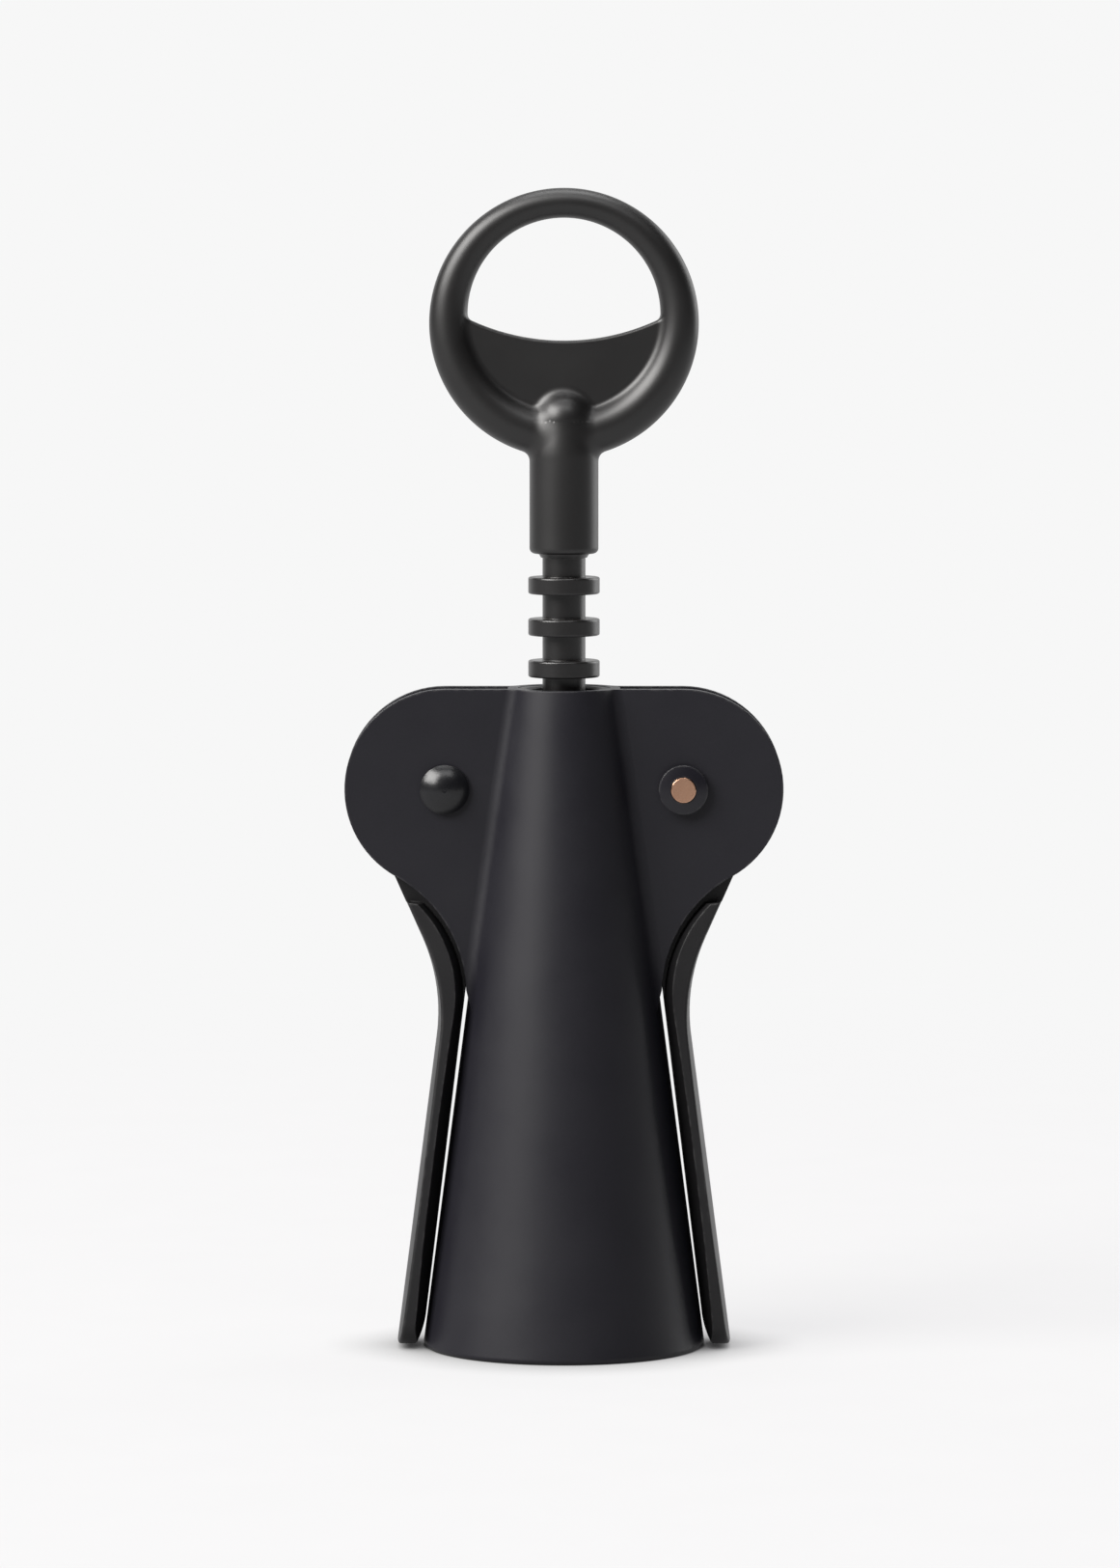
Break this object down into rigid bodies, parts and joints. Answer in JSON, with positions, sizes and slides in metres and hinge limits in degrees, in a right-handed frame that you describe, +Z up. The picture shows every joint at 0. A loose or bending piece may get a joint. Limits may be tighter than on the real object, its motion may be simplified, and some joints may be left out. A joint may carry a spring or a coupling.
{
  "type": "lever corkscrew",
  "caption": "Double-lever corkscrew: tapered bell with two cheeks, toothed winged levers, annular rack, worm and a ring handle with a cap opener.",
  "frame": {"origin": "centre of the bell's rim, on the plane that the corkscrew stands on", "axes": "+Z up along the bell and the worm, -Y the front, +X to the right seen from the front"},
  "size_m": [0.0662, 0.0426, 0.1754],
  "materials": {
    "black_powder_coat": "fine matte black powder coat",
    "handle_coat": "satin black coat",
    "rack_coat": "satin black coat over turned steel",
    "worm_coat": "smooth black low-friction coat",
    "gloss_black_enamel": "glossy black enamel, slight orange peel",
    "cap_black": "satin black",
    "copper_inlay": "brushed copper-toned metal",
    "pin_steel": "drawn steel",
    "washer_nylon": "black nylon",
    "bush_nylon": "black acetal",
    "collar_plastic": "moulded black plastic"
  },
  "bodies": {
    "frame": {"body_casting": "black_powder_coat", "bottle_collar": "collar_plastic", "left_pivot_pin": "pin_steel", "right_pivot_pin": "pin_steel", "left_front_cap": "gloss_black_enamel", "right_front_cap": "cap_black", "badge_inlay": "copper_inlay", "left_rear_cap": "gloss_black_enamel", "right_rear_cap": "gloss_black_enamel", "left_front_washer": "washer_nylon", "left_rear_washer": "washer_nylon", "right_front_washer": "washer_nylon", "right_rear_washer": "washer_nylon"},
    "guide": {"guide_bush": "bush_nylon"},
    "plunger": {"handle": "handle_coat", "rack_shaft": "rack_coat", "worm": "worm_coat", "worm_pin": "pin_steel"},
    "left_arm": {"left_lever": "black_powder_coat"},
    "right_arm": {"right_lever": "black_powder_coat"}
  },
  "joints": [
    {"name": "plunger_spin", "type": "hinge", "parent": "frame", "child": "guide", "pos_m": [0, 0, 0.0981], "axis": [0, 0, 1], "continuous": true},
    {"name": "plunger_slide", "type": "slide", "parent": "guide", "child": "plunger", "axis": [0, 0, -1], "range_m": [0, 0.0336]},
    {"name": "left_lever_swing", "type": "hinge", "parent": "frame", "child": "left_arm", "pos_m": [-0.018, 0, 0.085], "axis": [0, 1, 0], "range_deg": [0, 137.6]},
    {"name": "right_lever_swing", "type": "hinge", "parent": "frame", "child": "right_arm", "pos_m": [0.018, 0, 0.085], "axis": [0, -1, 0], "range_deg": [0, 137.6]}
  ],
  "couplings": [
    {"joint": "left_lever_swing", "follows": "plunger_slide", "rad_per_m": 71.429},
    {"joint": "right_lever_swing", "follows": "plunger_slide", "rad_per_m": 71.429}
  ]
}
